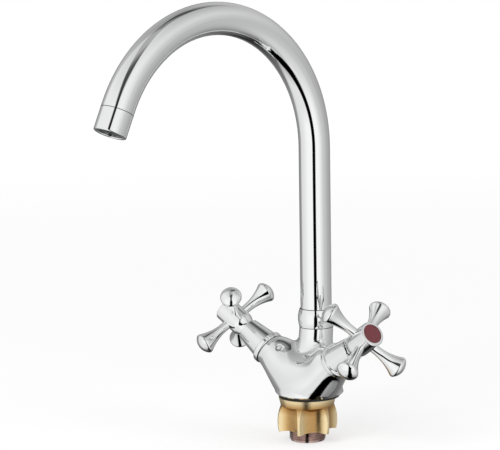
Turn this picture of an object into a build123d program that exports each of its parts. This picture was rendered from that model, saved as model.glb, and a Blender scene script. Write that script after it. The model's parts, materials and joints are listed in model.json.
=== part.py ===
from build123d import *
import os
from math import cos, radians, sin

# Two-handle kitchen mixer tap. Millimetres and degrees.
# The origin is on the fixing shank's axis, in the plane of the deck that the tap stands on.
# +Z is up, the spout points towards -Y, and the hot valve is on the +X arm.

# Fits, on the radius or between faces
thread_gap = 0.05
running_gap = 0.05
face_gap = 0.05
seat_gap = 0.02

# Spout
tube_diameter = 24.0
tube_wall = 1.0
riser_height = 192.0
bend_radius = 101.0
bend_sweep = 155.0
tube_end_length = 3.0
spout_setback = 10.9

# Aerator at the spout's outlet
aerator_length = 17.0
aerator_wall = 1.05
aerator_lip_height = 2.0
aerator_lip_width = 1.4
aerator_edge_round = 0.8
bush_wall = 1.6
bush_thread_length = 8.0
bush_insertion = 2.6
aerator_washer_height = 1.2
aerator_washer_width = 2.6
screen_height = 0.8
screen_hole_pitch = 3.0
screen_hole_width = 2.2
screen_hole_rings = 3
hexagon_sides = 6

# Spout joint at the top of the body
spigot_height = 7.0
spigot_diameter = 24.8
spout_socket_diameter = 18.0
spout_socket_depth = 26.0
slip_washer_height = 1.0
split_ring_height = 2.0
split_ring_opening = 3.0
split_ring_seat_diameter = 20.6
nipple_bore = 13.0
nipple_foot_gap = 2.0
nipple_tube_length = 11.0
spout_oring_section = 1.4
spout_oring_heights = (5.5, 13.5)
collar_height = 14.2
collar_foot_diameter = 26.1
collar_belly_diameter = 28.2
collar_belly_height = 6.0
collar_top_diameter = 25.6

# Body casting
base_diameter = 53.0
base_setback = 2.6
foot_bevel = 1.6
neck_height = 53.2
neck_diameter = 26.0
throat_height = 40.2
throat_setback = 9.6
throat_diameter = 26.6
throat_round = 40.0
arm_splay = 57.0
arm_lean = 12.0
arm_root_height = 10.0
arm_root_setback = -0.1
arm_length = 42.6
arm_end_diameter = 25.6
arm_waist_inset = 4.5
arm_waist_setback = -0.8
arm_waist_height = 22.4
arm_waist_narrowing = 15.6
arm_waist_tilt = 18.0
heart_setback = 2.8
heart_height = 11.0
heart_tall_inset = 2.0
heart_depth_inset = 2.5
heart_tilt = 21.0
crease_round = 6.0

# Waterways
seat_bore = 7.2
seat_passage_rise = 4.3
mixing_bore = 6.0
mixing_entry_depth = 11.0
mixing_entry_rise = 6.5
inlet_bore = 9.0
inlet_spacing = 13.0
inlet_depth = 10.0
chamber_diameter = 18.4
chamber_depth = 7.5

# Fixing under the deck
gasket_height = 3.0
gasket_exposed = 2.0
gasket_diameter = 46.0
gasket_bore = 36.0
shank_diameter = 28.0
shank_wall = 2.2
shank_reach = 34.0
shank_engagement = 8.0
nut_height = 26.5
nut_dish = 2.2
nut_top_diameter = 44.2
nut_neck_diameter = 41.2
nut_neck_height = 6.2
nut_core_diameter = 33.4
nut_core_height = 9.0
nut_skirt_diameter = 47.0
nut_skirt_height = 18.0
nut_foot_diameter = 45.0
nut_lobes = 6
nut_flute_radius = 18.0
nut_flute_floor = 17.0
nut_turn = -2.0

# Valve head, measured out along the arm from the arm's end face
valve_thread_diameter = 21.0
valve_thread_length = 9.0
valve_flange_diameter = 22.2
valve_flange_height = 2.5
valve_hex_width = 17.0
valve_hex_height = 5.0
valve_barrel_diameter = 13.0
valve_barrel_top = 22.0
valve_skirt_wall = 1.3
valve_window_width = 6.0
seat_clearance = 0.3
seat_seal_height = 1.5
seat_seal_width = 2.4
disc_height = 2.4
disc_port_radius = 5.6
disc_port_web = 1.4
disc_closed_turn = 180.0

# Spindle
spindle_diameter = 8.0
spindle_flange_height = 1.6
spindle_tang_width = 3.0
spindle_tang_depth = 1.0
spline_diameter = 7.6
spline_top = 42.4
spline_start = 23.6
spindle_oring_section = 1.3
spindle_oring_height = 12.0
circlip_height = 0.8
circlip_width = 2.0
circlip_groove_depth = 0.6
circlip_opening = 70.0

# Bonnet sleeve over the valve head
bonnet_ring_diameter = 27.6
bonnet_ring_height = 4.6
bonnet_ring_round = 1.2
bonnet_sleeve_diameter = 24.2
bonnet_top = 25.0
bonnet_top_diameter = 18.4
bonnet_wall = 1.3
bonnet_thread_start = 14.0
bonnet_flange_play = 0.3

# Cross handle
handle_gap = 0.6
handle_centre = 40.2
handle_top = 52.4
handle_rest_angle = 36.5
hub_foot_diameter = 14.4
hub_diameter = 19.2
hub_shoulder_drop = 7.0
hub_top_round = 1.0
arm_neck_diameter = 7.0
arm_neck_reach = 12.0
arm_head_diameter = 17.8
arm_head_reach = 32.8
arm_dome_height = 4.8
arm_head_round = 2.4
cross_arms = 4
handle_web = 2.8
index_diameter = 15.0
index_recess = 3.2
index_dome = 0.6
index_sink = 0.5

# Handle screw
screw_diameter = 4.0
screw_length = 10.0
screw_head_diameter = 7.6
screw_head_height = 2.4
screw_slot_width = 1.0
screw_slot_depth = 1.0
screw_hole_play = 0.25

# Levels and radii that follow from the sizes above
base_level = gasket_exposed
heart_deep = base_diameter - heart_depth_inset
heart_tall = base_diameter - heart_tall_inset
arm_waist_offset = base_diameter / 2 - arm_waist_inset
arm_waist_diameter = base_diameter - arm_waist_narrowing
spigot_top = neck_height + spigot_height
washer_top = spigot_top + slip_washer_height
ring_top = washer_top + split_ring_height + face_gap
tube_foot = ring_top + face_gap
socket_foot = spigot_top - spout_socket_depth
tube_radius = tube_diameter / 2
tube_inner_radius = tube_radius - tube_wall
shank_top = base_level + shank_engagement
shank_inner_radius = shank_diameter / 2 - shank_wall
seat_depth = valve_thread_length + chamber_depth
skirt_radius = chamber_diameter / 2 - seat_clearance
disc_radius = skirt_radius - valve_skirt_wall - running_gap
seal_top = seat_seal_height - seat_depth
fixed_disc_top = seal_top + disc_height
moving_disc_foot = fixed_disc_top + face_gap
moving_disc_top = moving_disc_foot + disc_height
flange_top = moving_disc_top + spindle_flange_height
cavity_top = flange_top + face_gap
spline_bore_radius = spline_diameter / 2 + seat_gap
handle_foot = bonnet_top + handle_gap
web_foot = spline_top + face_gap
web_top = web_foot + handle_web
recess_floor = handle_top - index_recess


def turned(outline):
    """A full turn about the local Z axis of an outline of (radius, height) points."""
    points = [(radius, 0, height) for radius, height in outline]
    return revolve(make_face(Polyline(*points, close=True).edges()), Axis.Z)


def ring(outer_radius, inner_radius, foot, top):
    """A plain ring about the local Z axis."""
    return turned([(inner_radius, foot), (outer_radius, foot), (outer_radius, top), (inner_radius, top)])


def rod(radius, foot, top):
    """A plain rod along the local Z axis."""
    return turned([(0, foot), (radius, foot), (radius, top), (0, top)])


def oring(groove_radius, outer_radius, height):
    """A round-section ring that fills the room from a groove's floor out to a radius."""
    section = (outer_radius - groove_radius) / 2
    return Pos(0, 0, height) * Torus(groove_radius + section, section)


def drilling(start, end, radius):
    """A round passage from one point to another."""
    way = Vector(*end) - Vector(*start)
    return Plane(origin=start, z_dir=way) * rod(radius, 0, way.length)


def arm_direction(side):
    """Unit vector out along a valve arm, on the +X side or the -X side."""
    upright = cos(radians(arm_splay))
    return Vector(
        side * sin(radians(arm_splay)),
        -upright * sin(radians(arm_lean)),
        upright * cos(radians(arm_lean)),
    )


def arm_frame(side):
    """Plane in a valve arm's end face: local Z points out along the arm, local X towards the back."""
    out = arm_direction(side)
    back = Vector(0, 1, 0) - out * out.Y
    root = Vector(0, arm_root_setback, arm_root_height)
    return Plane(origin=root + out * arm_length, x_dir=back, z_dir=out)


def level_frame(setback, height):
    """Level plane with local X towards the back, as in the arms' end faces."""
    return Plane(origin=(0, setback, height), x_dir=(0, 1, 0), z_dir=(0, 0, 1))


base_centre = level_frame(base_setback, 0)
base_frame = level_frame(base_setback, base_level)
neck_frame = level_frame(spout_setback, neck_height)
spout_frame = level_frame(spout_setback, 0)


def section_frame(centre, way):
    """Plane across the casting: local Z along the way through it, local X as near upright as it can be."""
    return Plane(origin=centre, x_dir=Vector(0, 0, 1) - way * way.Z, z_dir=way)


def arm_sections(side):
    """Round sections of one arm, at its end face and at its waist, both facing +X."""
    tilt = radians(arm_waist_tilt)
    waist_way = Vector(cos(tilt), 0, side * sin(tilt))
    waist_centre = (side * arm_waist_offset, arm_waist_setback, arm_waist_height)
    end = section_frame(arm_frame(side).origin, arm_direction(side) * side)
    waist = section_frame(waist_centre, waist_way)
    return [end * Circle(arm_end_diameter / 2), waist * Circle(arm_waist_diameter / 2)]


def casting_blank():
    """Outside of the casting: one flowing bar from arm to arm, and a cone from the foot to the neck."""
    tilt = radians(heart_tilt)
    heart = Plane(
        origin=(0, heart_setback, heart_height),
        x_dir=(0, sin(tilt), cos(tilt)),
        z_dir=(1, 0, 0),
    )
    middle = heart * Ellipse(heart_tall / 2, heart_deep / 2)
    bar = loft(arm_sections(-1) + [middle] + arm_sections(1)[::-1])
    bar = split(bar, bisect_by=Plane.XY.offset(base_level), keep=Keep.TOP)
    throat = level_frame(throat_setback, throat_height)
    rings = [
        base_frame * Circle(base_diameter / 2),
        throat * Circle(throat_diameter / 2),
        neck_frame * Circle(neck_diameter / 2),
    ]
    cone = loft(rings, ruled=True)
    bend = cone.edges().filter_by(lambda edge: edge.is_closed).sort_by(Axis.Z)[1]
    cone = fillet(bend, throat_round)
    blank = cone + bar
    blank = fillet(new_edges(cone, bar, combined=blank), crease_round)
    foot = base_diameter / 2
    relief = turned([
        (foot - foot_bevel, base_level),
        (foot + foot_bevel, base_level),
        (foot + foot_bevel, base_level + 2 * foot_bevel),
    ])
    return blank - base_centre * relief


def mixer_body():
    """Casting: two valve arms and the spout neck growing from one round foot, bored for the water."""
    casting = casting_blank()
    casting += spout_frame * rod(spigot_diameter / 2, neck_height, spigot_top)
    casting -= spout_frame * rod(spout_socket_diameter / 2, socket_foot, spigot_top)
    casting -= rod(shank_diameter / 2 + thread_gap, 0, shank_top)
    gasket_room = gasket_diameter / 2 + face_gap
    casting -= base_centre * ring(gasket_room, gasket_bore / 2 - face_gap, 0, gasket_height)
    mixing_point = (0, spout_setback, socket_foot)
    for side in (1, -1):
        arm = arm_frame(side)
        casting -= arm * rod(valve_thread_diameter / 2, -valve_thread_length, 0)
        casting -= arm * rod(chamber_diameter / 2, -seat_depth, -valve_thread_length)
        inlet = Pos(side * inlet_spacing / 2, 0, shank_top)
        casting -= inlet * rod(inlet_bore / 2, 0, inlet_depth)
        casting -= inlet * rod(seat_bore / 2, 0, inlet_depth + seat_passage_rise)
        passage = (side * inlet_spacing / 2, 0, shank_top + inlet_depth + seat_passage_rise)
        seat = arm.from_local_coords(Vector(0, 0, -seat_depth))
        casting -= drilling(passage, seat, seat_bore / 2)
        entry = arm.from_local_coords(Vector(0, side * mixing_entry_rise, -mixing_entry_depth))
        casting -= drilling(mixing_point, entry, mixing_bore / 2)
    return casting


def base_gasket():
    """Flat rubber ring let into the underside of the body."""
    return base_centre * ring(gasket_diameter / 2, gasket_bore / 2, 0, gasket_height)


def threaded_shank():
    """Hollow shank that the two supply hoses pass through."""
    return ring(shank_diameter / 2, shank_inner_radius, -shank_reach, shank_top)


def fixing_nut():
    """Cast nut: a tapered collar over a flaring skirt, whose wide flutes leave ridges to grip by hand."""
    bore = shank_diameter / 2 + thread_gap
    neck = nut_neck_diameter / 2
    dish = nut_dish - nut_height
    core = turned([
        (bore, 0),
        (nut_top_diameter / 2, 0),
        (neck, -nut_neck_height),
        (nut_core_diameter / 2, -nut_core_height),
        (nut_core_diameter / 2, dish),
        (bore, dish),
    ])
    inside = Polyline(
        (nut_foot_diameter / 2, 0, -nut_height),
        (bore, 0, dish),
        (bore, 0, -nut_neck_height),
        (neck, 0, -nut_neck_height),
    )
    flare = Spline(
        (neck, 0, -nut_neck_height),
        (nut_skirt_diameter / 2, 0, -nut_skirt_height),
        (nut_foot_diameter / 2, 0, -nut_height),
    )
    skirt = revolve(make_face((inside + flare).edges()), Axis.Z)
    flute = Pos(nut_flute_floor + nut_flute_radius, 0, 0) * rod(nut_flute_radius, -nut_height, 0)
    for lobe in range(nut_lobes):
        skirt -= Rot(0, 0, nut_turn + (lobe + 1 / 2) * 360 / nut_lobes) * flute
    return core + skirt


def spout_path():
    """Middle line of the spout tube, from its foot to its outlet, as a riser, a bend and an end."""
    riser = Line((0, 0, tube_foot), (0, 0, riser_height))
    middle = Vector(0, -bend_radius, riser_height)
    sweep = radians(bend_sweep)
    half = middle + Vector(0, cos(sweep / 2), sin(sweep / 2)) * bend_radius
    end = middle + Vector(0, cos(sweep), sin(sweep)) * bend_radius
    bend = ThreePointArc(riser @ 1, half, end)
    outlet = Line(end, end + (bend % 1) * tube_end_length)
    return Wire([riser.edge(), bend.edge(), outlet.edge()])


path_at_origin = spout_path()
outlet_frame = Plane(
    origin=path_at_origin @ 1 + Vector(0, spout_setback, 0),
    x_dir=(1, 0, 0),
    z_dir=path_at_origin % 1,
)


def spout_tube():
    """Bent tube, open at both ends."""
    foot = Plane(origin=(0, 0, tube_foot), z_dir=(0, 0, 1))
    wall = foot * (Circle(tube_radius) - Circle(tube_inner_radius))
    return Pos(0, spout_setback, 0) * sweep(wall, path=path_at_origin)


def spout_nipple():
    """Turned brass foot of the spout: two ring grooves below, the split ring's seat, and the tube's plug."""
    stem = spout_socket_diameter / 2 - running_gap
    foot = socket_foot + nipple_foot_gap
    bore = nipple_bore / 2
    seat = split_ring_seat_diameter / 2
    plug = tube_inner_radius - seat_gap
    blank = turned([
        (bore, foot),
        (stem, foot),
        (stem, washer_top),
        (seat, washer_top),
        (seat, tube_foot),
        (plug, tube_foot),
        (plug, tube_foot + nipple_tube_length),
        (bore, tube_foot + nipple_tube_length),
    ])
    floor = stem - spout_oring_section
    for height in spout_oring_heights:
        groove_foot = foot + height - spout_oring_section
        groove_top = groove_foot + 2 * spout_oring_section
        blank -= ring(spout_socket_diameter / 2, floor, groove_foot, groove_top)
    return spout_frame * blank


def spout_orings():
    """The two sealing rings in the nipple's grooves."""
    stem = spout_socket_diameter / 2 - running_gap
    foot = socket_foot + nipple_foot_gap
    floor = stem - spout_oring_section + seat_gap
    rings = [oring(floor, stem + seat_gap, foot + height) for height in spout_oring_heights]
    return spout_frame * Compound([each.solid() for each in rings])


def spout_slip_washer():
    """Plastic washer that the turning spout rests on."""
    hole = spout_socket_diameter / 2 + running_gap
    return spout_frame * ring(spigot_diameter / 2 - face_gap, hole, spigot_top, washer_top - face_gap)


def spout_split_ring():
    """Open plastic ring under the collar's lip, which keeps the spout from lifting out."""
    inner = split_ring_seat_diameter / 2 + seat_gap
    blank = ring(spigot_diameter / 2 - seat_gap, inner, washer_top, ring_top)
    slot = Box(spigot_diameter, split_ring_opening, spigot_diameter)
    return spout_frame * (blank - Pos(spigot_diameter / 2, 0, washer_top) * slot)


def spout_collar():
    """Round-bellied nut on the body's spigot, with a lip round the tube."""
    thread = spigot_diameter / 2 + thread_gap
    lip = tube_radius + running_gap
    lip_foot = ring_top + face_gap
    foot = neck_height + face_gap
    top = neck_height + collar_height
    inside = Polyline(
        (collar_foot_diameter / 2, 0, foot),
        (thread, 0, foot),
        (thread, 0, lip_foot),
        (lip, 0, lip_foot),
        (lip, 0, top),
        (collar_top_diameter / 2, 0, top),
    )
    belly = Spline(
        (collar_top_diameter / 2, 0, top),
        (collar_belly_diameter / 2, 0, neck_height + collar_belly_height),
        (collar_foot_diameter / 2, 0, foot),
    )
    return spout_frame * revolve(make_face((inside + belly).edges()), Axis.Z)


bush_top = -bush_insertion
bush_foot = bush_thread_length
washer_foot = bush_foot + aerator_washer_height
lip_top = aerator_length - aerator_lip_height
screen_top = lip_top - screen_height
housing_inner = tube_radius - aerator_wall


def outlet_bush():
    """Brass bush soldered into the tube's end, with a thread for the aerator."""
    bore = housing_inner - thread_gap - bush_wall
    plug = ring(tube_inner_radius - seat_gap, bore, bush_top, 0)
    thread = ring(housing_inner - thread_gap, bore, 0, bush_foot)
    return outlet_frame * (plug + thread)


def aerator_washer():
    """Flat rubber washer between the bush and the aerator's cage."""
    outer = housing_inner - thread_gap
    return outlet_frame * ring(outer, outer - aerator_washer_width, bush_foot, washer_foot)


def aerator_housing():
    """Chromed sleeve that continues the tube, with an inward lip at its mouth."""
    lip = housing_inner - aerator_lip_width
    shell = turned([
        (housing_inner, face_gap),
        (tube_radius, face_gap),
        (tube_radius, aerator_length),
        (lip, aerator_length),
        (lip, lip_top),
        (housing_inner, lip_top),
    ])
    mouth = shell.edges().group_by(Axis.Z)[-1]
    return outlet_frame * fillet(mouth, aerator_edge_round)


def screen_centres():
    """Centres of a hexagonal pattern of holes: one in the middle and rings of six, twelve and so on."""
    rows = range(-screen_hole_rings, screen_hole_rings + 1)
    places = [(a, b) for a in rows for b in rows if abs(a + b) <= screen_hole_rings]
    row_pitch = screen_hole_pitch * sin(radians(360 / hexagon_sides))
    return [(screen_hole_pitch * (a + b / 2), row_pitch * b) for a, b in places]


def screen_holes(height):
    """The six-sided holes as one sketch at a height."""
    hole = RegularPolygon(screen_hole_width / 2, hexagon_sides)
    return Sketch() + [Pos(x, y, height) * hole for x, y in screen_centres()]


def aerator_cage():
    """Plastic cage that mixes air into the water, with a wide waterway through it."""
    outer = housing_inner - thread_gap
    wall = ring(outer, outer - aerator_washer_width, washer_foot, screen_top)
    floor = rod(outer - aerator_wall, washer_foot, washer_foot + aerator_washer_height)
    return outlet_frame * (wall + floor - extrude(screen_holes(washer_foot), aerator_washer_height))


def aerator_screen():
    """Steel honeycomb at the outlet, held by the housing's lip."""
    plate = rod(housing_inner - thread_gap, screen_top, lip_top)
    return outlet_frame * (plate - extrude(screen_holes(screen_top), screen_height))


def valve_head():
    """Brass head that screws into the arm and carries the spindle and the ceramic discs."""
    bore = spindle_diameter / 2 + running_gap
    cavity = disc_radius + running_gap
    thread = valve_thread_diameter / 2 - thread_gap
    blank = turned([
        (cavity, seat_clearance - seat_depth),
        (skirt_radius, seat_clearance - seat_depth),
        (skirt_radius, -valve_thread_length),
        (thread, -valve_thread_length),
        (thread, 0),
        (valve_flange_diameter / 2, 0),
        (valve_flange_diameter / 2, valve_flange_height),
        (valve_barrel_diameter / 2, valve_flange_height),
        (valve_barrel_diameter / 2, valve_barrel_top),
        (bore, valve_barrel_top),
        (bore, cavity_top),
        (cavity, cavity_top),
    ])
    spanner = RegularPolygon(valve_hex_width / 2, hexagon_sides, major_radius=False)
    spanner -= Circle(valve_barrel_diameter / 2)
    blank += Pos(0, 0, valve_flange_height) * extrude(spanner, valve_hex_height)
    window = Box(chamber_diameter * 2, valve_window_width, disc_height)
    return blank - Pos(0, 0, moving_disc_foot + disc_height / 2) * window


def ported_disc(foot, port_turn):
    """Ceramic disc with a half-round port on one side of its middle."""
    half = Circle(disc_port_radius) & Pos(disc_port_radius + disc_port_web / 2, 0) * Rectangle(
        2 * disc_port_radius, 2 * disc_port_radius
    )
    face = Circle(disc_radius) - Rot(0, 0, port_turn) * half
    return Pos(0, 0, foot) * extrude(face, disc_height)


def moving_disc():
    """Upper disc, whose slot takes the spindle's tang; its port is opposite the other's when closed."""
    slot = Box(spindle_tang_width, 2 * disc_radius, 2 * spindle_tang_depth)
    return ported_disc(moving_disc_foot, disc_closed_turn) - Pos(0, 0, moving_disc_top) * slot


def spindle():
    """Brass spindle: tang and flange on the disc, stem with a ring groove, circlip groove and spline end."""
    stem = spindle_diameter / 2
    groove_foot = valve_barrel_top + face_gap
    groove_top = groove_foot + circlip_height + 2 * face_gap
    blank = turned([
        (0, moving_disc_top),
        (disc_radius - face_gap, moving_disc_top),
        (disc_radius - face_gap, flange_top),
        (stem, flange_top),
        (stem, groove_foot),
        (stem - circlip_groove_depth, groove_foot),
        (stem - circlip_groove_depth, groove_top),
        (stem, groove_top),
        (stem, spline_start),
        (spline_diameter / 2, spline_start),
        (spline_diameter / 2, spline_top),
        (0, spline_top),
    ])
    oring_foot = spindle_oring_height - spindle_oring_section
    oring_top = spindle_oring_height + spindle_oring_section
    blank -= ring(spindle_diameter, stem - spindle_oring_section, oring_foot, oring_top)
    blank -= rod(screw_diameter / 2 + seat_gap, web_top - screw_length - screw_diameter, spline_top)
    tang = Box(spindle_tang_width - 2 * seat_gap, 2 * disc_radius, spindle_tang_depth - face_gap)
    tang = tang & rod(disc_radius - face_gap, -seat_depth, seat_depth)
    return blank + Pos(0, 0, moving_disc_top - (spindle_tang_depth - face_gap) / 2) * tang


def spindle_oring():
    """Sealing ring on the spindle's stem."""
    stem = spindle_diameter / 2
    return oring(stem - spindle_oring_section + seat_gap, stem + seat_gap, spindle_oring_height)


def spindle_circlip():
    """Open spring ring that keeps the spindle in the head."""
    inner = spindle_diameter / 2 - circlip_groove_depth + seat_gap
    foot = valve_barrel_top + 2 * face_gap
    blank = ring(inner + circlip_width, inner, foot, foot + circlip_height)
    reach = 2 * spindle_diameter
    along = reach * cos(radians(circlip_opening / 2))
    across = reach * sin(radians(circlip_opening / 2))
    gap = make_face(Polyline((0, 0), (along, -across), (along, across), close=True).edges())
    return blank - extrude(gap, bonnet_top)


def seat_seal():
    """Rubber ring between the arm's seat and the lower disc."""
    return ring(disc_radius, disc_radius - seat_seal_width, -seat_depth, seal_top)


def bonnet():
    """Tapered sleeve over the valve head, with a rounded ring against the arm."""
    slope = (bonnet_sleeve_diameter - bonnet_top_diameter) / 2 / (bonnet_top - bonnet_ring_height)
    inner_start = bonnet_sleeve_diameter / 2 - bonnet_wall
    inner_end = bonnet_sleeve_diameter / 2 - slope * (bonnet_thread_start - bonnet_ring_height) - bonnet_wall
    thread = valve_barrel_diameter / 2 + thread_gap
    flange_room = valve_flange_diameter / 2 + bonnet_flange_play
    flange_room_top = valve_flange_height + bonnet_flange_play
    shell = turned([
        (flange_room, 0),
        (bonnet_ring_diameter / 2, 0),
        (bonnet_ring_diameter / 2, bonnet_ring_height),
        (bonnet_sleeve_diameter / 2, bonnet_ring_height),
        (bonnet_top_diameter / 2, bonnet_top),
        (thread, bonnet_top),
        (thread, bonnet_thread_start),
        (inner_end, bonnet_thread_start),
        (inner_start, flange_room_top),
        (flange_room, flange_room_top),
    ])
    rims = shell.edges().filter_by(lambda edge: edge.is_closed).sort_by(SortBy.LENGTH)[-2:]
    return fillet(rims, bonnet_ring_round)


def handle_arm():
    """One trumpet-shaped arm of the cross along local X, with a domed end."""
    neck = arm_neck_diameter / 2
    head = arm_head_diameter / 2
    tip = arm_head_reach + arm_dome_height
    shaft = Polyline((tip, 0), (0, 0), (0, neck), (arm_neck_reach, neck))
    flare = TangentArc((arm_neck_reach, neck), (arm_head_reach, head), tangent=(1, 0))
    dome = TangentArc((tip, 0), (arm_head_reach, head), tangent=(0, 1))
    blank = revolve(make_face((shaft + flare + dome).edges()), Axis.X)
    rim = blank.edges().filter_by(lambda edge: edge.is_closed).sort_by(SortBy.LENGTH)[-1]
    return fillet(rim, arm_head_round)


def cross_handle(turn):
    """Hub with four arms, bored for the spline, the screw and the index cap."""
    shoulder = handle_centre - hub_shoulder_drop
    foot_edge = Polyline(
        (hub_diameter / 2, 0, handle_top),
        (0, 0, handle_top),
        (0, 0, handle_foot),
        (hub_foot_diameter / 2, 0, handle_foot),
    )
    waist = Spline(
        (hub_foot_diameter / 2, 0, handle_foot),
        (hub_diameter / 2, 0, shoulder),
        tangents=[(0, 0, 1), (0, 0, 1)],
    )
    side = Line((hub_diameter / 2, 0, shoulder), (hub_diameter / 2, 0, handle_top))
    hub = revolve(make_face((foot_edge + waist + side).edges()), Axis.Z)
    hub = fillet(hub.edges().group_by(Axis.Z)[-1], hub_top_round)
    for arm in range(cross_arms):
        hub += Pos(0, 0, handle_centre) * Rot(0, 0, turn + arm * 360 / cross_arms) * handle_arm()
    hub -= rod(spline_bore_radius, handle_foot, web_foot)
    hub -= rod(screw_diameter / 2 + screw_hole_play, web_foot, web_top)
    hub -= rod(screw_head_diameter / 2 + screw_hole_play, web_top, recess_floor)
    hub -= rod(index_diameter / 2 + running_gap, recess_floor, handle_top)
    return hub


def handle_screw():
    """Slotted screw that clamps the handle to the spindle."""
    head_top = web_top + screw_head_height
    blank = rod(screw_head_diameter / 2, web_top, head_top)
    blank += rod(screw_diameter / 2, web_top - screw_length, web_top)
    slot = Box(screw_head_diameter * 2, screw_slot_width, 2 * screw_slot_depth)
    return blank - Pos(0, 0, head_top) * slot


def index_cap():
    """Coloured disc in the handle's top, slightly domed."""
    radius = index_diameter / 2
    edge_top = handle_top - index_sink
    peak = (0, 0, edge_top + index_dome)
    rim = (radius, 0, edge_top)
    sides = Polyline(peak, (0, 0, recess_floor), (radius, 0, recess_floor), rim)
    dome = TangentArc(peak, rim, tangent=(1, 0, 0))
    return revolve(make_face((sides + dome).edges()), Axis.Z)


def valve_pieces(side):
    """Every piece of one valve, in the frame of its arm's end face."""
    return {
        "valve_head": valve_head(),
        "seat_seal": seat_seal(),
        "fixed_disc": ported_disc(seal_top, 0),
        "moving_disc": moving_disc(),
        "spindle": spindle(),
        "spindle_oring": spindle_oring(),
        "spindle_circlip": spindle_circlip(),
        "bonnet": bonnet(),
        "cross_handle": cross_handle(side * handle_rest_angle),
        "handle_screw": handle_screw(),
        "index_cap": index_cap(),
    }


pieces = {
    "mixer_body": mixer_body(),
    "base_gasket": base_gasket(),
    "threaded_shank": threaded_shank(),
    "fixing_nut": fixing_nut(),
    "spout_tube": spout_tube(),
    "spout_nipple": spout_nipple(),
    "spout_orings": spout_orings(),
    "spout_slip_washer": spout_slip_washer(),
    "spout_split_ring": spout_split_ring(),
    "spout_collar": spout_collar(),
    "outlet_bush": outlet_bush(),
    "aerator_washer": aerator_washer(),
    "aerator_housing": aerator_housing(),
    "aerator_cage": aerator_cage(),
    "aerator_screen": aerator_screen(),
}
for valve, side in (("hot", 1), ("cold", -1)):
    for name, piece in valve_pieces(side).items():
        pieces[f"{valve}_{name}"] = arm_frame(side) * piece

os.makedirs("parts", exist_ok=True)
for name, piece in pieces.items():
    export_step(piece, f"parts/{name}.step")
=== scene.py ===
# %% [markdown]
# # A chromed kitchen mixer tap
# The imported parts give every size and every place, and this lesson dresses them. Chrome has almost
# no colour of its own: what we see in it is the room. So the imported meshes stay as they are, each
# piece gets the finish of its real material, and most of the work goes into a room that is worth
# mirroring. Only the thread of the shank and the thin dark seams between the chrome pieces are
# modelled here.

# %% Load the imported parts
import json
from math import pi, radians

import bmesh
import bpy
from mathutils import Matrix, Vector


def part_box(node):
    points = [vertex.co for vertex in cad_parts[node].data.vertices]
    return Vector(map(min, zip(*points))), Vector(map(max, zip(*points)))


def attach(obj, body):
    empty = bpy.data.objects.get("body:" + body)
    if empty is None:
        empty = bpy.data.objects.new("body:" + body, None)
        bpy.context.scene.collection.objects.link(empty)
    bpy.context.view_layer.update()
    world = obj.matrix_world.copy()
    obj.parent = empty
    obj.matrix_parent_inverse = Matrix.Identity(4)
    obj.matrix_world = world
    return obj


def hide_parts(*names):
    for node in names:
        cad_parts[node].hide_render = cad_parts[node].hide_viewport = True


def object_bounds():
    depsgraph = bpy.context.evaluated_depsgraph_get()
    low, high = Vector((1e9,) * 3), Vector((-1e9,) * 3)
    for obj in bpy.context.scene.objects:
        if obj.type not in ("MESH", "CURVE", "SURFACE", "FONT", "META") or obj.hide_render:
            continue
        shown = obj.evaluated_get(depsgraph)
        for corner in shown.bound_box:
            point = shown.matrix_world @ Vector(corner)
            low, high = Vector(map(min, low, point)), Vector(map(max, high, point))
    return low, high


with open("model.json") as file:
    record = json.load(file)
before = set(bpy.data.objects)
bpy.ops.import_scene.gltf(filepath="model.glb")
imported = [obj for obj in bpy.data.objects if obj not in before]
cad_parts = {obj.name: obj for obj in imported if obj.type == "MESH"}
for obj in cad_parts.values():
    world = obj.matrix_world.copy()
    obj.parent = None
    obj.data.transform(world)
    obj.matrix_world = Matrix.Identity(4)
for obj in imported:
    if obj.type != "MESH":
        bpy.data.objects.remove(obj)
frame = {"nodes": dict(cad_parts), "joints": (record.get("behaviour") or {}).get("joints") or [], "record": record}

MM = 0.001
nodes = frame["nodes"]
cad_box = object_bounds()
print("packed nodes:", len(nodes), "height:", round((cad_box[1].z - cad_box[0].z) / MM, 1), "mm")

# %% [markdown]
# ## What a finish is made of
# A real surface is never one flat value: casting, polishing and wiping leave patches in its colour
# and its gloss. A painted image could hold them, but then the part would need image files. A noise
# does it here, read at the Object coordinates, which are metres in the tap's own frame. Each helper
# below adds one kind of node, and a finish is a few of them in a row: a noise, a range or a ramp
# that turns the noise into a roughness or a colour, and a bump.

# %% Make the shader helpers
NOISE_SPAN = (0.3, 0.7)


def shader_of(name):
    """A new node material, its node tree and its Principled shader."""
    material = bpy.data.materials.new(name)
    material.use_nodes = True
    return material, material.node_tree, material.node_tree.nodes["Principled BSDF"]


def place_of(tree):
    """The Object coordinates, in metres."""
    return tree.nodes.new("ShaderNodeTexCoord").outputs["Object"]


def noise_of(tree, scale, detail, stretch=(1, 1, 1)):
    """A noise on Object coordinates, stretched along the axes."""
    mapping = tree.nodes.new("ShaderNodeMapping")
    mapping.inputs["Scale"].default_value = stretch
    tree.links.new(place_of(tree), mapping.inputs["Vector"])
    noise = tree.nodes.new("ShaderNodeTexNoise")
    noise.inputs["Scale"].default_value = scale
    noise.inputs["Detail"].default_value = detail
    tree.links.new(mapping.outputs["Vector"], noise.inputs["Vector"])
    return noise.outputs["Fac"]


def range_of(tree, source, low, high, to_low=0, to_high=1):
    """A value from to_low to to_high, as the source goes from low to high."""
    reach = tree.nodes.new("ShaderNodeMapRange")
    reach.inputs["From Min"].default_value = low
    reach.inputs["From Max"].default_value = high
    reach.inputs["To Min"].default_value = to_low
    reach.inputs["To Max"].default_value = to_high
    tree.links.new(source, reach.inputs["Value"])
    return reach.outputs["Result"]


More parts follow.
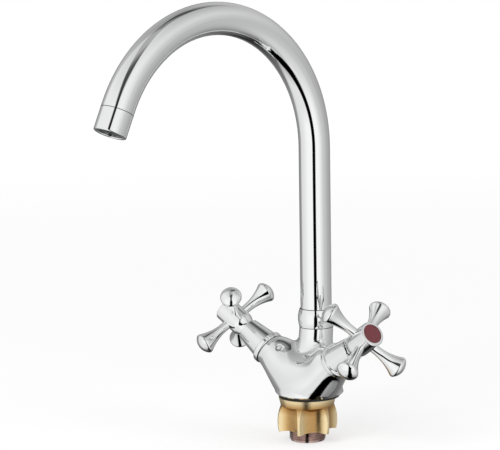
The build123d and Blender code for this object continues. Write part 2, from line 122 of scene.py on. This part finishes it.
def ramp_of(tree, source, colours):
    """Colours along a ramp, from a list of (place, colour)."""
    ramp = tree.nodes.new("ShaderNodeValToRGB")
    elements = ramp.color_ramp.elements
    while len(elements) < len(colours):
        elements.new(0.5)
    for element, (place, colour) in zip(elements, colours):
        element.position = place
        element.color = (*colour, 1)
    tree.links.new(source, ramp.inputs["Fac"])
    return ramp.outputs["Color"]


def bump_of(tree, source, shader, strength, distance):
    """A bump of that height in metres, on the shader's normal."""
    bump = tree.nodes.new("ShaderNodeBump")
    bump.inputs["Strength"].default_value = strength
    bump.inputs["Distance"].default_value = distance
    tree.links.new(source, bump.inputs["Height"])
    tree.links.new(bump.outputs["Normal"], shader.inputs["Normal"])


print("a noise is read from", NOISE_SPAN[0], "to", NOISE_SPAN[1])

# %% [markdown]
# ## Chrome
# Chrome plate is a mirror over polished brass. A plain Glossy shader would do for a perfect mirror,
# but a real plate isn't one: wiping leaves faint smears, and polishing leaves a very slight
# waviness. So this is a fully metallic Principled shader in a slightly cool grey, with a stretched
# noise that moves its roughness a little, and a weak bump. The casting is polished by hand and so a
# bit wavier than the turned pieces.


# %% Mix the chrome
def chrome(name, wave_scale, wave_height, smears):
    """Mirror chrome with faint smears and a slight waviness."""
    material, tree, shader = shader_of(name)
    shader.inputs["Metallic"].default_value = 1
    shader.inputs["Base Color"].default_value = (0.91, 0.92, 0.915, 1)
    smear = noise_of(tree, scale=55, detail=5, stretch=(1, 1, 0.35))
    tree.links.new(range_of(tree, smear, *NOISE_SPAN, *smears), shader.inputs["Roughness"])
    wave = noise_of(tree, scale=wave_scale, detail=1)
    bump_of(tree, wave, shader, strength=0.25, distance=wave_height)
    return material


turned_chrome = chrome("turned_chrome", wave_scale=40, wave_height=0.05 * MM, smears=(0.02, 0.06))
cast_chrome = chrome("cast_chrome", wave_scale=60, wave_height=0.1 * MM, smears=(0.03, 0.08))
print("chrome finishes:", turned_chrome.name, cast_chrome.name)

# %% [markdown]
# ## Brass of the nut
# The nut is cast brass, golden on its ridges. Its flutes and the corner under its collar are painted
# browner, as painted shade. Colours painted on the vertices could show that, but the imported mesh
# stays as it is. The distance from the nut's axis and the height under the deck say where the shade
# goes, and both come from the Object coordinates. So one ramp of painted shade runs out from the
# axis, with some noise in it, and another runs up to the deck.

# %% Mix the brass of the nut
# Painted shade: the flutes near the axis and the corner under the collar are darkened in the colour.
FLUTE_SHADE_RADIUS = 16.5 * MM
UNSHADED_RIDGE_RADIUS = 22.5 * MM
GOLD_AND_SHADE_RAMP = [(0.1, (0.42, 0.22, 0.07)), (0.5, (0.74, 0.50, 0.22)), (1.0, (0.95, 0.77, 0.46))]
PATCHES = 0.3
NUT_ROUGHNESS = (0.24, 0.34)
COLLAR_SHADE_FOOT = -13 * MM
COLLAR_PAINTED_SHADES = [
    (0.0, (1, 1, 1)),
    (0.34, (0.72, 0.6, 0.46)),
    (0.5, (0.5, 0.36, 0.22)),
    (0.62, (0.7, 0.56, 0.4)),
    (0.9, (1, 1, 1)),
]


def math_of(tree, operation, *values):
    """The result of a Math node on sockets and numbers."""
    node = tree.nodes.new("ShaderNodeMath")
    node.operation = operation
    for socket, value in zip(node.inputs, values):
        if isinstance(value, bpy.types.NodeSocket):
            tree.links.new(value, socket)
        else:
            socket.default_value = value
    return node.outputs["Value"]


def axis_of(tree, vector, axis):
    """One coordinate of a vector."""
    split = tree.nodes.new("ShaderNodeSeparateXYZ")
    tree.links.new(vector, split.inputs["Vector"])
    return split.outputs[axis]


def radius_of(tree):
    """Distance from the Z axis, in metres."""
    flat = tree.nodes.new("ShaderNodeVectorMath")
    flat.operation = "MULTIPLY"
    flat.inputs[1].default_value = (1, 1, 0)
    tree.links.new(place_of(tree), flat.inputs[0])
    length = tree.nodes.new("ShaderNodeVectorMath")
    length.operation = "LENGTH"
    tree.links.new(flat.outputs["Vector"], length.inputs[0])
    return length.outputs["Value"]


def nut_brass():
    """Cast and polished brass, with painted shade near the axis and in the corner under the collar."""
    material, tree, shader = shader_of("nut_brass")
    shader.inputs["Metallic"].default_value = 1
    patch = noise_of(tree, scale=110, detail=3)
    # Painted shade: browner towards the axis, in the flutes, and in the corner under the collar.
    flute_shade = range_of(tree, radius_of(tree), FLUTE_SHADE_RADIUS, UNSHADED_RIDGE_RADIUS)
    collar_shade_rise = range_of(tree, axis_of(tree, place_of(tree), "Z"), COLLAR_SHADE_FOOT, 0)
    gold_with_shade = ramp_of(tree, math_of(tree, "MULTIPLY_ADD", patch, PATCHES, flute_shade), GOLD_AND_SHADE_RAMP)
    mix = tree.nodes.new("ShaderNodeMixRGB")
    mix.blend_type = "MULTIPLY"
    mix.inputs["Fac"].default_value = 1
    tree.links.new(gold_with_shade, mix.inputs["Color1"])
    tree.links.new(ramp_of(tree, collar_shade_rise, COLLAR_PAINTED_SHADES), mix.inputs["Color2"])
    tree.links.new(mix.outputs["Color"], shader.inputs["Base Color"])
    tree.links.new(range_of(tree, patch, *NOISE_SPAN, *NUT_ROUGHNESS), shader.inputs["Roughness"])
    bump_of(tree, noise_of(tree, scale=130, detail=2), shader, strength=0.3, distance=0.2 * MM)
    return material


finishes = {"chrome": turned_chrome, "cast_brass": nut_brass()}
print("finish of the nut:", finishes["cast_brass"].name)

# %% [markdown]
# ## Shank, seals, index discs and the inside
# The shank is dull brass, gone brown. The seals are black rubber, the index discs glossy plastic
# under a clear coat, and inside are turned brass, steel, ceramic and white plastic. Each could have
# a recipe of its own, but up close they all show the same two things, a slightly patchy colour and
# a fine grain. So one function makes them all, from a dark and a light colour, a range of roughness
# and the scale of the patches.

# %% Mix the other finishes
GRAIN_FINENESS = 6


def grained(name, dark, light, roughness, scale, metallic=1):
    """A metal, or a moulded material where metallic is 0, with a patchy colour and a fine grain."""
    material, tree, shader = shader_of(name)
    shader.inputs["Metallic"].default_value = metallic
    patch = noise_of(tree, scale, detail=4)
    colours = list(zip(NOISE_SPAN, (dark, light)))
    tree.links.new(ramp_of(tree, patch, colours), shader.inputs["Base Color"])
    tree.links.new(range_of(tree, patch, *NOISE_SPAN, *roughness), shader.inputs["Roughness"])
    grain = noise_of(tree, scale * GRAIN_FINENESS, detail=2)
    bump_of(tree, grain, shader, strength=0.2, distance=0.1 * MM)
    return material


def index_plastic(name, dark, light):
    """Glossy coloured plastic under a clear coat."""
    material = grained(name, dark, light, roughness=(0.28, 0.4), scale=220, metallic=0)
    shader = material.node_tree.nodes["Principled BSDF"]
    shader.inputs["Coat Weight"].default_value = 0.4
    shader.inputs["Coat Roughness"].default_value = 0.12
    return material


finishes |= {
    "shank_brass": grained("brown_brass", (0.34, 0.23, 0.20), (0.62, 0.47, 0.43), (0.10, 0.20), 150),
    "turned_brass": grained("turned_brass", (0.66, 0.46, 0.20), (0.80, 0.60, 0.30), (0.22, 0.34), 200),
    "black_rubber": grained("black_rubber", (0.01, 0.01, 0.011), (0.022, 0.022, 0.024), (0.5, 0.7), 400, 0),
    "white_plastic": grained("white_plastic", (0.70, 0.70, 0.68), (0.80, 0.80, 0.78), (0.35, 0.5), 300, 0),
    "steel": grained("steel", (0.42, 0.43, 0.44), (0.60, 0.61, 0.62), (0.25, 0.4), 500),
    "disc_ceramic": grained("disc_ceramic", (0.80, 0.79, 0.76), (0.88, 0.87, 0.85), (0.1, 0.2), 300, 0),
    "index_red": index_plastic("index_red", (0.13, 0.012, 0.020), (0.19, 0.022, 0.032)),
    "index_blue": index_plastic("index_blue", (0.010, 0.030, 0.13), (0.018, 0.048, 0.19)),
}
# Painted shade: the screen's steel is darkened for the shade deep in the outlet.
screen_steel_in_painted_shade = grained("screen_steel_in_painted_shade", (0.08, 0.08, 0.085), (0.17, 0.17, 0.175), (0.35, 0.5), 500)
print("finishes by slot:", sorted(finishes))

# %% [markdown]
# ## Finishes on the imported pieces
# The record names a material slot for every piece of the tap. A list of pieces could be typed in
# again here, but a loop over the record dresses them all and can't forget one. Two pieces then get
# a finish of their own: the body, which is the hand-polished casting, and the screen deep in the
# outlet, whose steel is painted darker as painted shade of the outlet.

# %% Dress the imported pieces
for part in frame["record"]["subparts"]:
    mesh = nodes[part["node"]].data
    mesh.materials.clear()
    mesh.materials.append(finishes[part["material_slot"]])
nodes["mixer_body"].data.materials[0] = cast_chrome
nodes["aerator_screen"].data.materials[0] = screen_steel_in_painted_shade

# %% [markdown]
# ## Turned pieces
# A turned piece comes off a lathe: one outline, cut all the way round. A cylinder with a hole would
# do for a plain ring, but a spin follows any outline. So a closed row of (radius, height) points,
# in millimetres, is spun a full turn about Z, and the spin merges its last step with its first. The
# normals are then made to point outwards. A matrix carries the piece to its place, and only edges
# that turn sharply stay sharp.

# %% Make the helpers for turned pieces
SPIN_STEPS = 128
MERGE_DISTANCE = 1e-6
SLIVER_LENGTH = 1e-7
SHARP_EDGE = radians(32)


def outline_edges(bm, points):
    """A closed outline in the XZ plane."""
    verts = [bm.verts.new((radius * MM, 0, height * MM)) for radius, height in points]
    return [bm.edges.new((verts[i - 1], verts[i])) for i in range(len(verts))]


def spun(points):
    """A bmesh of a closed outline of (radius, height) points, spun about Z."""
    bm = bmesh.new()
    edges = outline_edges(bm, points)
    bmesh.ops.spin(
        bm,
        geom=edges + bm.verts[:],
        axis=(0, 0, 1),
        cent=(0, 0, 0),
        angle=2 * pi,
        steps=SPIN_STEPS,
        use_merge=True,
    )
    bmesh.ops.remove_doubles(bm, verts=bm.verts[:], dist=MERGE_DISTANCE)
    bmesh.ops.dissolve_degenerate(bm, edges=bm.edges[:], dist=SLIVER_LENGTH)
    bmesh.ops.recalc_face_normals(bm, faces=bm.faces[:])
    return bm


def object_of(bm, name, material):
    """An object of a bmesh, in the scene, with its material."""
    mesh = bpy.data.meshes.new(name)
    bm.to_mesh(mesh)
    bm.free()
    mesh.materials.append(material)
    thing = bpy.data.objects.new(name, mesh)
    bpy.context.scene.collection.objects.link(thing)
    return thing


def piece_of(bm, name, matrix, body, slot):
    """A piece of the tap: carried to its place, shaded, and riding on a body."""
    bmesh.ops.transform(bm, matrix=matrix, verts=bm.verts[:])
    piece = object_of(bm, name, finishes[slot])
    for polygon in piece.data.polygons:
        polygon.use_smooth = True
    piece.data.set_sharp_from_angle(angle=SHARP_EDGE)
    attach(piece, body)
    print(name, "triangles:", sum(len(p.vertices) - 2 for p in piece.data.polygons))
    return piece


print("steps in a full turn:", SPIN_STEPS)

# %% [markdown]
# ## Thread of the shank
# The shank is a brass tube with a fine thread, which shows under the nut. A bump could draw the
# thread, but the tube's outline would stay straight, and a Screw modifier could wind it too. Here a
# spin that rises by the pitch in each turn winds one closed outline, the ridge, round a plain tube.
# The ridge can then sink into the tube at the foot, point by point, as the lead-in of a cut thread
# does.

# %% Wind the ridge of the thread
SHANK_WALL = 2.2
CREST_CLEARANCE = 0.02
THREAD_DEPTH = 0.88
THREAD_PITCH = 1.5
THREAD_STEPS = 72
CREST_START, CREST_END, RIDGE_END = 0.42, 0.56, 0.98
RIDGE_SINK = 0.15
shank_low, shank_high = [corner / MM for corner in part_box("threaded_shank")]
shank_foot, shank_top = shank_low.z, shank_high.z
shank_crest = shank_high.x - CREST_CLEARANCE
shank_root = shank_crest - THREAD_DEPTH
shank_bore = shank_high.x - SHANK_WALL


def thread_ridge():
    """A closed ridge that winds up the shank."""
    bm = bmesh.new()
    base = shank_root - RIDGE_SINK
    edges = outline_edges(bm, [
        (base, shank_foot),
        (shank_crest, shank_foot + CREST_START * THREAD_PITCH),
        (shank_crest, shank_foot + CREST_END * THREAD_PITCH),
        (base, shank_foot + RIDGE_END * THREAD_PITCH),
    ])
    turns = (shank_top - shank_foot) / THREAD_PITCH - 1
    steps = round(turns * THREAD_STEPS)
    bmesh.ops.spin(
        bm,
        geom=edges + bm.verts[:],
        axis=(0, 0, 1),
        cent=(0, 0, 0),
        dvec=(0, 0, turns * THREAD_PITCH * MM / steps),
        angle=2 * pi * turns,
        steps=steps,
    )
    bmesh.ops.holes_fill(bm, edges=[edge for edge in bm.edges if edge.is_boundary], sides=4)
    return bm


ridge = thread_ridge()
for vert in ridge.verts:
    turns_up = (vert.co.z / MM - shank_foot) / THREAD_PITCH
    most = (shank_root + turns_up * THREAD_DEPTH) * MM
    radius = vert.co.xy.length
    if radius > most:
        vert.co.xy *= most / radius
bmesh.ops.recalc_face_normals(ridge, faces=ridge.faces[:])
print("ridge of the thread, faces:", len(ridge.faces))

# %% [markdown]
# ## Tube of the shank
# The real thread is cut into the tube, so the two are one piece of brass. A boolean could fuse them
# here, but on so many turns it is slow, and nobody would see the difference. So the foot of the
# ridge lies inside the tube's wall, and both go into one mesh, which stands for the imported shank.

# %% Join the ridge to the tube of the shank
shank = spun([
    (shank_bore, shank_foot),
    (shank_root, shank_foot),
    (shank_root, shank_top),
    (shank_bore, shank_top),
])
ridge_mesh = bpy.data.meshes.new("ridge")
ridge.to_mesh(ridge_mesh)
ridge.free()
shank.from_mesh(ridge_mesh)
bpy.data.meshes.remove(ridge_mesh)
shank_piece = piece_of(shank, "shank_with_thread", Matrix(), "tap_body", "shank_brass")
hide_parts("threaded_shank")

# %% [markdown]
# ## Places of the seams
# A seam runs round an axis of the tap. Its place could be typed in, but the joints already know the
# axes: the spout turns about the neck's axis and each handle about its arm's axis. So a matrix made
# from a joint carries a ring from the origin to its seam. In an arm's frame, Z points out along the
# arm and X towards the back of the tap. The outlet's frame is the neck's frame, carried round the
# spout's bend.

# %% Work out the places of the seams
BEND_RADIUS = 101 * MM
BEND_HEIGHT = 192 * MM
BEND_SWEEP = radians(155)
joints = {joint["name"]: joint for joint in frame["joints"]}


def arm_matrix(joint):
    """Matrix of a valve arm's end face, from its handle's joint."""
    out = Vector(joint["axis"]).normalized()
    back = Vector((0, 1, 0)) - out * out.y
    back.normalize()
    across = out.cross(back)
    columns = Matrix((back, across, out)).transposed().to_4x4()
    return Matrix.Translation(Vector(joint["pos_m"])) @ columns


arms = {valve: arm_matrix(joints[f"{valve}_handle_turn"]) for valve in ("hot", "cold")}
neck_axis = Vector(joints["spout_swivel"]["pos_m"])
neck_matrix = Matrix.Translation((neck_axis.x, neck_axis.y, 0))
bend_centre = Vector((0, neck_axis.y - BEND_RADIUS, BEND_HEIGHT))
bend_end = Matrix.Translation(bend_centre) @ Matrix.Rotation(BEND_SWEEP, 4, "X")
outlet_matrix = bend_end @ Matrix.Translation((0, BEND_RADIUS, 0))
print("bend ends at", [round(value / MM, 1) for value in outlet_matrix.translation], "mm")

# %% [markdown]
# ## Seams
# Where two chrome pieces meet, the real tap shows a thin dark line: the edge of a seal, and the
# shadow in the gap. A groove cut into the chrome could show it, but the imported meshes stay as they
# are. So a narrow ring of black rubber lies in each seam, a fraction of a millimetre proud of what
# it lies on, or it wouldn't show. Its black is the seal's edge and a painted shadow of the gap in one.

# %% Lay the seam rings
SEAM_WIDTH = 0.45
TUBE_RADIUS = 12.0
NECK_RADIUS = 13.0
ARM_RADIUS = 12.8
TUBE_END = 3.0
SEAM_LIFT = 0.1
collar_foot, collar_top = [corner.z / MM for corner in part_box("spout_collar")]


def seam(name, radius, depths, height, matrix, body):
    """A thin black ring in a seam, from one depth to another about a radius, round the matrix's Z axis."""
    inner, outer = [radius + depth for depth in depths]
    low, high = height - SEAM_WIDTH / 2, height + SEAM_WIDTH / 2
    ring = spun([(inner, low), (outer, low), (outer, high), (inner, high)])
    return piece_of(ring, name, matrix, body, "black_rubber")


# Painted shadow: the black of each ring also stands for the shadow in its gap.
seam("collar_top_seam", TUBE_RADIUS, (0.03, 0.35), collar_top + SEAM_LIFT, neck_matrix, "tap_body")
seam("collar_foot_seam", NECK_RADIUS, (-0.1, 0.14), collar_foot - SEAM_LIFT / 2, neck_matrix, "tap_body")
seam("outlet_seam", TUBE_RADIUS, (-0.3, 0.04), TUBE_END, outlet_matrix, "spout")
for valve, matrix in arms.items():
    seam(f"{valve}_bonnet_seam", ARM_RADIUS, (-0.3, 0.3), SEAM_LIFT, matrix, "tap_body")

# %% [markdown]
# ## Floor
# The tap stands before plain white. A floor that is lit until it is white would throw that light
# back up at the tap. So the floor is grey paper, which takes the shadow, and it glows only for a
# ray that looks at it: from the camera, off a mirror or through glass. Far from the lamps it glows
# a little more, to stay even.

# %% Make the floor
FLOOR_GAP = 0.4 * MM
FLOOR_REACH = 6
GLOW_DISTANCES = (0.3, 2.5)
GLOW_STRENGTHS = (0.58, 0.74)
floor_level = cad_box[0].z - FLOOR_GAP


def looked_at(tree):
    """1 for a ray from the camera, off a mirror or through glass, and 0 for one that carries light."""
    path = tree.nodes.new("ShaderNodeLightPath").outputs
    seen = math_of(tree, "MAXIMUM", path["Is Camera Ray"], path["Is Glossy Ray"])
    return math_of(tree, "MAXIMUM", seen, path["Is Transmission Ray"])


def floor_paper():
    """Grey paper that takes the shadow, with a glow that makes it white to look at."""
    material, tree, shader = shader_of("floor_paper")
    shader.inputs["Base Color"].default_value = (0.5, 0.5, 0.5, 1)
    shader.inputs["Roughness"].default_value = 1
    shader.inputs["Specular IOR Level"].default_value = 0
    shader.inputs["Emission Color"].default_value = (1, 1, 1, 1)
    glow = range_of(tree, radius_of(tree), *GLOW_DISTANCES, *GLOW_STRENGTHS)
    tree.links.new(math_of(tree, "MULTIPLY", looked_at(tree), glow), shader.inputs["Emission Strength"])
    return material


bm = bmesh.new()
bmesh.ops.create_grid(bm, x_segments=1, y_segments=1, size=FLOOR_REACH)
bmesh.ops.translate(bm, vec=(0, 0, floor_level), verts=bm.verts[:])
floor = object_of(bm, "floor", floor_paper())
print("floor at", round(floor_level / MM, 2), "mm")

# %% [markdown]
# ## Tent
# Chrome needs a room to mirror. In a studio that is a tent of cloth: white on the left, greyer on
# the right, dim behind the tap, with a dark slit in it. Lamps and cards could be set up one by one,
# but they would light the tap as well. Here the tent is a large sphere that only mirrors can see,
# and ramps give its tones. A ramp is a row of (place, tone). Round the tent, 0.5 is where the
# camera stands, 0.25 is on its left and 0.75 on its right, and 0 and 1 meet behind the tap. In
# height, 0 is straight down, 0.5 level and 1 straight up. The sides have three ramps, for low,
# level and high, and two more say how they blend with the height.

# %% Choose the tones of the cloth
LOW_SIDES = [
    (0.0, 0.02), (0.05, 0.06), (0.15, 0.2), (0.19, 0.7), (0.24, 0.82), (0.56, 0.86),
    (0.62, 0.74), (0.7, 0.66), (0.79, 0.43), (0.88, 0.2), (0.95, 0.12), (1.0, 0.02),
]
LEVEL_SIDES = [
    (0.0, 0.1), (0.025, 0.2), (0.13, 0.3), (0.16, 0.34), (0.19, 0.76), (0.27, 0.84), (0.36, 1.0),
    (0.58, 1.0), (0.68, 0.62), (0.78, 0.47), (0.92, 0.32), (0.975, 0.26), (1.0, 0.1),
]
HIGH_SIDES = [
    (0.0, 0.42), (0.1, 0.46), (0.16, 0.56), (0.2, 0.88),
    (0.58, 0.92), (0.7, 0.72), (0.9, 0.54), (1.0, 0.52),
]
LOW_SHARE = [(0.2, 1), (0.33, 0)]
HIGH_SHARE = [(0.54, 0), (0.74, 1)]
FOOT_AND_TOP = [(0.0, 0.5), (0.1, 1), (0.8, 1), (0.95, 0.8)]


def tones_of(tree, source, tones):
    """A grey ramp from (place, tone) pairs."""
    return ramp_of(tree, source, [(place, (tone, tone, tone)) for place, tone in tones])


def blend(tree, share, first, second):
    """The first value where the share is 0, and the second where it is 1."""
    mix = tree.nodes.new("ShaderNodeMix")
    tree.links.new(share, mix.inputs["Factor"])
    tree.links.new(first, mix.inputs["A"])
    tree.links.new(second, mix.inputs["B"])
    return mix.outputs["Result"]


def side_tone(tree, around, rise):
    """The tone of the cloth by heading and by height."""
    low, level, high = [tones_of(tree, around, row) for row in (LOW_SIDES, LEVEL_SIDES, HIGH_SIDES)]
    tone = blend(tree, tones_of(tree, rise, LOW_SHARE), level, low)
    tone = blend(tree, tones_of(tree, rise, HIGH_SHARE), tone, high)
    return math_of(tree, "MULTIPLY", tone, tones_of(tree, rise, FOOT_AND_TOP))


print("tones round the tent:", len(LOW_SIDES), len(LEVEL_SIDES), len(HIGH_SIDES))

# %% [markdown]
# ## Slit in the tent
# The slit is what the camera looks through. The chrome mirrors it as the dark line down the riser
# and over the arch, the lines across the handles and the black band on the foot. A strip of black
# cloth could hang in the tent, but a ramp across the slit also gives its soft edges. The slit runs
# from under the camera up over the top, wider below and narrower above, and bends to the right
# behind the tap, where it ends. Across it, 0.5 is the camera's heading. Along it, 1 is the camera's
# side, 0.5 overhead and 0 behind the tap. Overhead it is only grey, because the body's shoulder
# would show it as a dark patch.

# %% Cut the slit
TENT_RADIUS = 4.0
SLIT = [(0.347, 1), (0.374, 0), (0.531, 0), (0.562, 1)]
LOW_SLIT = [(0.347, 1), (0.374, 0), (0.575, 0), (0.605, 1)]
HIGH_SLIT = [(0.385, 1), (0.403, 0), (0.497, 0), (0.515, 1)]
LOW_SLIT_SHARE = [(0.08, 1), (0.2, 0)]
HIGH_SLIT_SHARE = [(0.52, 0), (0.62, 1), (0.76, 1), (0.9, 0)]
SLIT_BEND = 0.65
SLIT_END = [(0.2, 1), (0.36, 0)]
SLIT_TOP = [(0.33, 0), (0.37, 0.2), (0.43, 0.6), (0.64, 0.6), (0.76, 0.12), (0.95, 0)]
UPPER_HALF = [(0.5, 0), (0.6, 1)]


def slit_tone(tree, turned, rise):
    """0 in the slit and 1 beside it."""
    ahead = axis_of(tree, turned, "X")
    behind = math_of(tree, "MINIMUM", ahead, 0)
    beside = math_of(tree, "MULTIPLY_ADD", behind, SLIT_BEND, axis_of(tree, turned, "Y"))
    across = range_of(tree, beside, -TENT_RADIUS, TENT_RADIUS)
    along = range_of(tree, ahead, -TENT_RADIUS, TENT_RADIUS)
    level, low, high = [tones_of(tree, across, row) for row in (SLIT, LOW_SLIT, HIGH_SLIT)]
    tone = blend(tree, tones_of(tree, rise, LOW_SLIT_SHARE), level, low)
    tone = blend(tree, tones_of(tree, rise, HIGH_SLIT_SHARE), tone, high)
    top = math_of(tree, "MULTIPLY", tones_of(tree, rise, UPPER_HALF), tones_of(tree, along, SLIT_TOP))
    ends = math_of(tree, "MAXIMUM", top, tones_of(tree, along, SLIT_END))
    return math_of(tree, "MAXIMUM", tone, ends)


print("width of the slit:", round((SLIT[2][0] - SLIT[1][0]) * 2 * TENT_RADIUS, 2), "m")

# %% [markdown]
# ## Hanging the tent
# A studio's tent stands all round the thing. A box or a dome could carry the tones as well, but a
# sphere has no corners that the chrome would show. Its cloth only glows: the camera, the light and
# the shadows pass through it, and mirrors alone can see it. The floor is hidden from the mirrors
# instead, because the lower half of the tent stands in for it.

# %% Put up the tent that the chrome mirrors
CAMERA_HEADING = radians(-43.4)


def tent_cloth():
    """A cloth that glows in its tones, turned to face the camera, with the slit in it."""
    material = bpy.data.materials.new("tent_cloth")
    material.use_nodes = True
    tree = material.node_tree
    tree.nodes.clear()
    place = place_of(tree)
    heading = tree.nodes.new("ShaderNodeMapping")
    heading.inputs["Rotation"].default_value = (0, 0, -CAMERA_HEADING)
    tree.links.new(place, heading.inputs["Vector"])
    turned = heading.outputs["Vector"]
    gradient = tree.nodes.new("ShaderNodeTexGradient")
    gradient.gradient_type = "RADIAL"
    tree.links.new(turned, gradient.inputs["Vector"])
    rise = range_of(tree, axis_of(tree, place, "Z"), -TENT_RADIUS, TENT_RADIUS)
    sides = side_tone(tree, gradient.outputs["Fac"], rise)
    glow = tree.nodes.new("ShaderNodeEmission")
    output = tree.nodes.new("ShaderNodeOutputMaterial")
    tree.links.new(math_of(tree, "MULTIPLY", sides, slit_tone(tree, turned, rise)), glow.inputs["Color"])
    tree.links.new(glow.outputs["Emission"], output.inputs["Surface"])
    return material


bm = bmesh.new()
bmesh.ops.create_uvsphere(bm, u_segments=48, v_segments=24, radius=TENT_RADIUS)
tent = object_of(bm, "tent", tent_cloth())
tent.visible_camera = False
tent.visible_diffuse = False
tent.visible_transmission = False
tent.visible_shadow = False
floor.visible_glossy = False
print("tent radius:", TENT_RADIUS, "m")

# %% [markdown]
# ## Light
# The tent gives no light, so the light comes from a white room and two soft square lamps, a key on
# the camera's left and a fill on its right. One sun lamp would be simpler, but its shadow would
# have a hard edge. The room is white to look at and weaker as light, and the lamps don't show in
# the chrome, which would mirror them as bright squares.

# %% Light the room
ROOM_LIGHT, ROOM_WHITE = 0.55, 1.0
LAMP_AIM = Vector((0, -0.05, 0.12))
bpy.context.scene.view_settings.view_transform = "Standard"
world = bpy.data.worlds.new("white_room")
bpy.context.scene.world = world
world.use_nodes = True
room = world.node_tree
sky = room.nodes["Background"]
sky.inputs["Color"].default_value = (1, 1, 1, 1)
room.links.new(range_of(room, looked_at(room), 0, 1, ROOM_LIGHT, ROOM_WHITE), sky.inputs["Strength"])


def softbox(name, place, size, power):
    """A square area lamp that looks at the tap."""
    lamp = bpy.data.lights.new(name, "AREA")
    lamp.size = size
    lamp.energy = power
    box = bpy.data.objects.new(name, lamp)
    box.location = place
    box.rotation_euler = (LAMP_AIM - Vector(place)).to_track_quat("-Z", "Y").to_euler()
    box.visible_glossy = False
    bpy.context.scene.collection.objects.link(box)
    return box


key_light = softbox("key_light", place=(0.2, -1.5, 1.2), size=1.0, power=14)
fill_light = softbox("fill_light", place=(1.4, 0.5, 0.9), size=0.9, power=6)
print("lamps:", key_light.name, fill_light.name)

# %% [markdown]
# ## Camera
# The photograph looks at the tap from its right front, slightly from above, through a long lens. A
# camera aimed at a point would always stand level, and this one is tilted a little. So its place
# and its three axes were fitted to the foot's circle, the tube's edges, the arms and the arch, and
# are written as they came out.

# %% Set up the camera
CAMERA_PLACE = (1.07618, -1.07417, 0.34256)
CAMERA_RIGHT = Vector((0.6881, 0.7254, -0.0158))
CAMERA_UP = Vector((-0.0880, 0.1050, 0.9906))
CAMERA_FORWARD = Vector((-0.7202, 0.6802, -0.1361))
camera_data = bpy.data.cameras.new("camera")
camera_data.lens = 144.9
camera_data.sensor_width = 36
camera = bpy.data.objects.new("camera", camera_data)
turn = Matrix((CAMERA_RIGHT, CAMERA_UP, -CAMERA_FORWARD)).transposed().to_4x4()
camera.matrix_world = Matrix.Translation(CAMERA_PLACE) @ turn
bpy.context.scene.collection.objects.link(camera)
bpy.context.scene.camera = camera
print("camera lens:", camera_data.lens, "mm")
